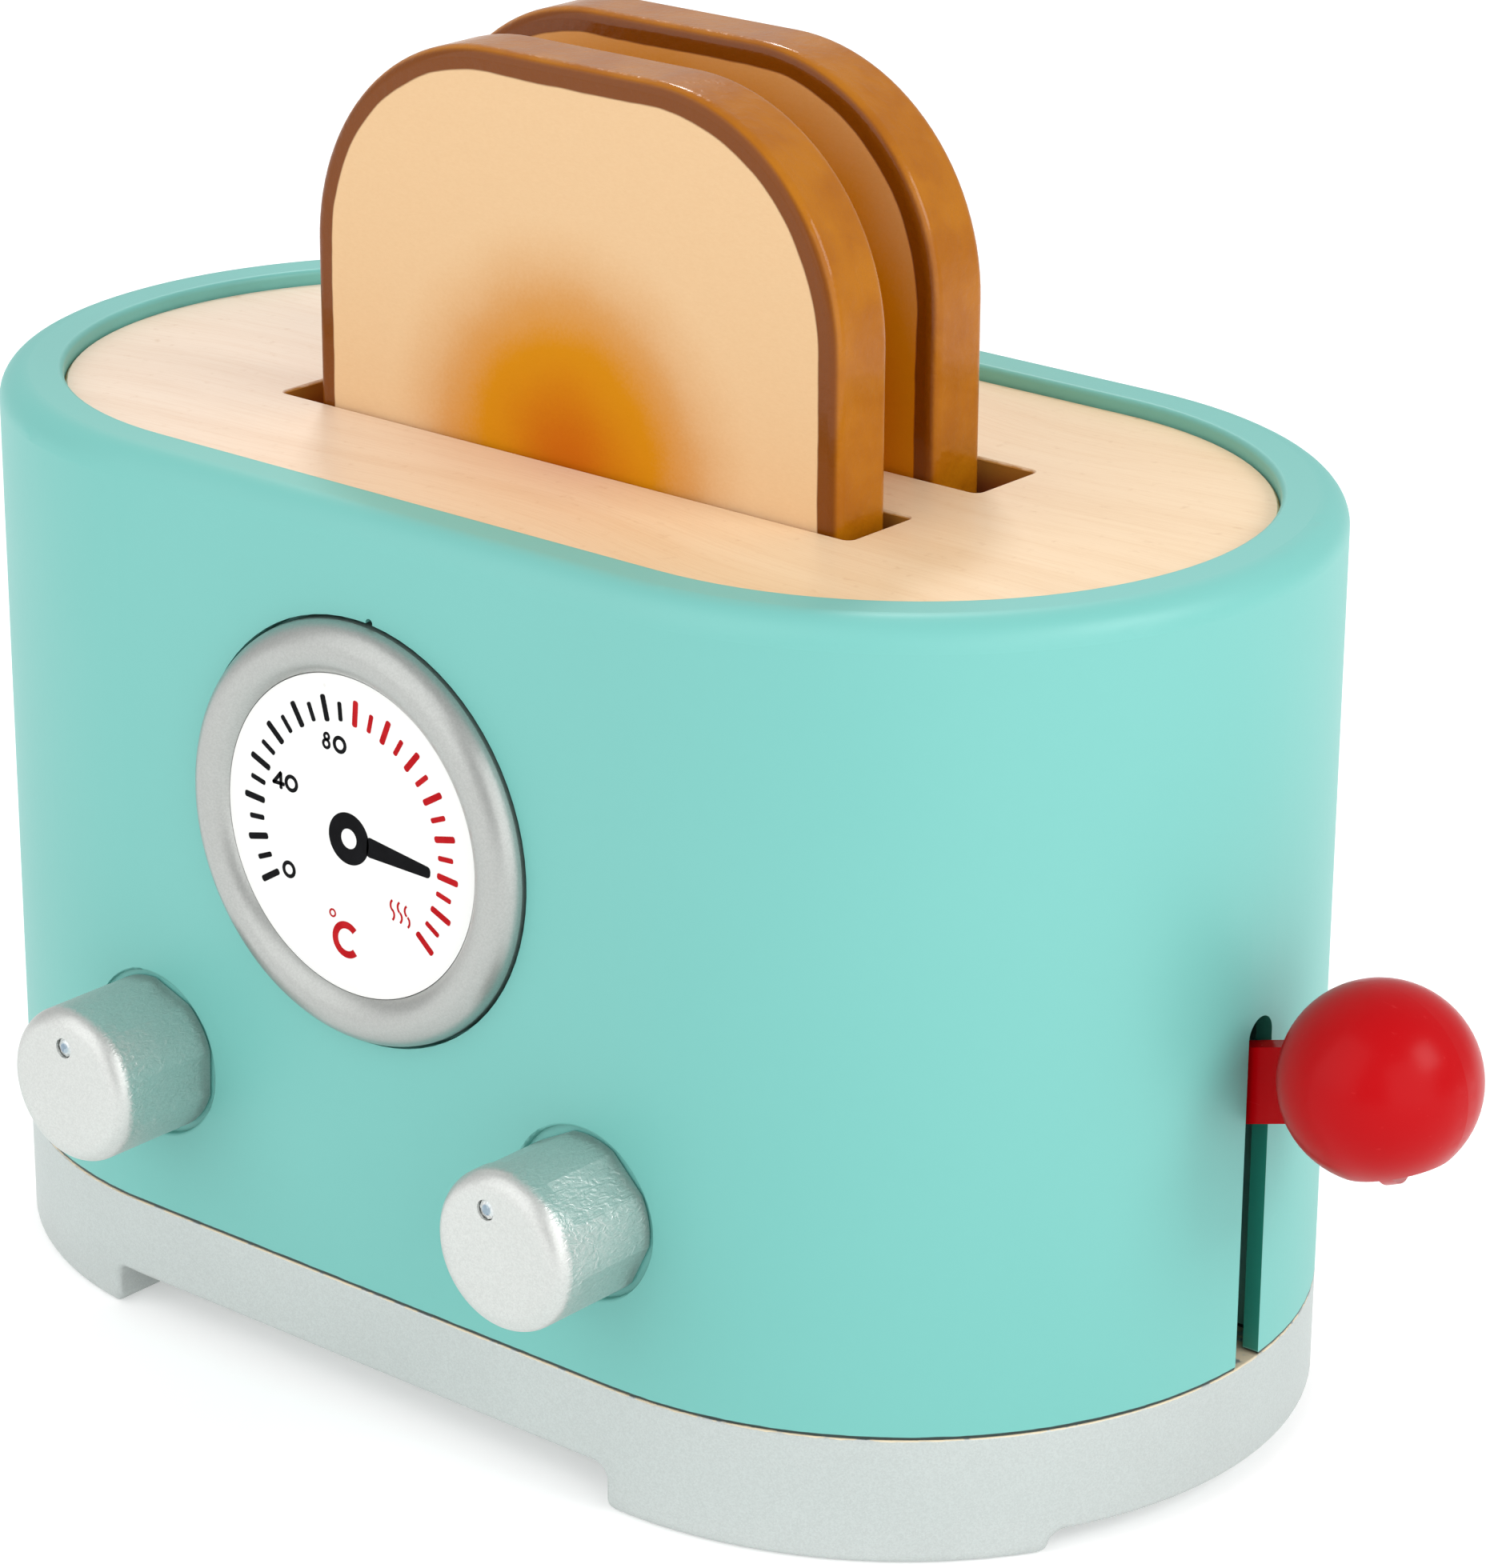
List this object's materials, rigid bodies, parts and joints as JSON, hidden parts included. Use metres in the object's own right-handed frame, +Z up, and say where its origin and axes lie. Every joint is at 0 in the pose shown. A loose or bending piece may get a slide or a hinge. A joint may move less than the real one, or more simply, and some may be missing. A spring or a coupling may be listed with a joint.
{
  "type": "toy toaster",
  "caption": "Oval wooden play toaster on corner feet; a rocking ball-ended lever lifts toast slices through top slots, with turning knobs and a round dial.",
  "frame": {"origin": "on the floor under the middle of the oval body", "axes": "+X towards the lever's ball, -Y towards the gauge and the knobs, +Z up"},
  "size_m": [0.2309, 0.1299, 0.1768],
  "materials": {
    "mint_paint": "satin mint paint over wood",
    "silver_paint": "silver metallic paint over wood",
    "birch": "clear lacquered pale wood",
    "toast_paint": "painted wood: cream faces, toasted middle, gloss brown crust",
    "printed_dial": "white disc printed with a scale",
    "red_plastic": "semi-gloss moulded red plastic",
    "white_nylon": "natural nylon",
    "steel": "plain steel",
    "zinc_screw": "zinc plated",
    "felt": "grey felt",
    "clear_jewel": "clear faceted acrylic with a foil back"
  },
  "bodies": {
    "housing": {"body_shell": "mint_paint", "top_plate": "birch", "base_plate": "silver_paint", "base_screws": "zinc_screw", "gauge_bezel": "silver_paint", "gauge_dial": "printed_dial", "knob_bushes": "white_nylon", "pivot_bracket": "white_nylon", "pivot_pin": "steel", "pivot_clips": "steel", "bracket_screws": "zinc_screw", "guide_rods": "steel", "felt_washers": "felt", "stop_sleeves": "birch"},
    "lever_arm": {"lever": "red_plastic", "lift_pin": "steel"},
    "carriage": {"toast_carriage": "birch", "lift_yoke": "white_nylon", "yoke_screws": "zinc_screw", "guide_bushes": "white_nylon"},
    "front_slice": {"toast_front": "toast_paint"},
    "rear_slice": {"toast_back": "toast_paint"},
    "left_knob": {"knob_left": "silver_paint", "knob_left_jewel": "clear_jewel", "knob_left_screw": "zinc_screw"},
    "right_knob": {"knob_right": "silver_paint", "knob_right_jewel": "clear_jewel", "knob_right_screw": "zinc_screw"}
  },
  "joints": [
    {"name": "carriage_lift", "type": "slide", "parent": "housing", "child": "carriage", "axis": [0, 0, 1], "range_m": [0, 0.02418]},
    {"name": "lever_press", "type": "hinge", "parent": "housing", "child": "lever_arm", "pos_m": [0.0544, 0.0022, 0.0438], "axis": [0, 1, 0], "range_deg": [0, 25]},
    {"name": "front_slice_lift", "type": "slide", "parent": "carriage", "child": "front_slice", "axis": [0, 0, 1], "range_m": [0, 0.06]},
    {"name": "rear_slice_lift", "type": "slide", "parent": "carriage", "child": "rear_slice", "axis": [0, 0, 1], "range_m": [0, 0.06]},
    {"name": "left_knob_turn", "type": "hinge", "parent": "housing", "child": "left_knob", "pos_m": [-0.03985, -0.0568, 0.04105], "axis": [0, -1, 0], "continuous": true},
    {"name": "right_knob_turn", "type": "hinge", "parent": "housing", "child": "right_knob", "pos_m": [0.03795, -0.0568, 0.04105], "axis": [0, -1, 0], "continuous": true}
  ],
  "couplings": [
    {"joint": "lever_press", "follows": "carriage_lift", "rad_per_m": 18.04}
  ]
}
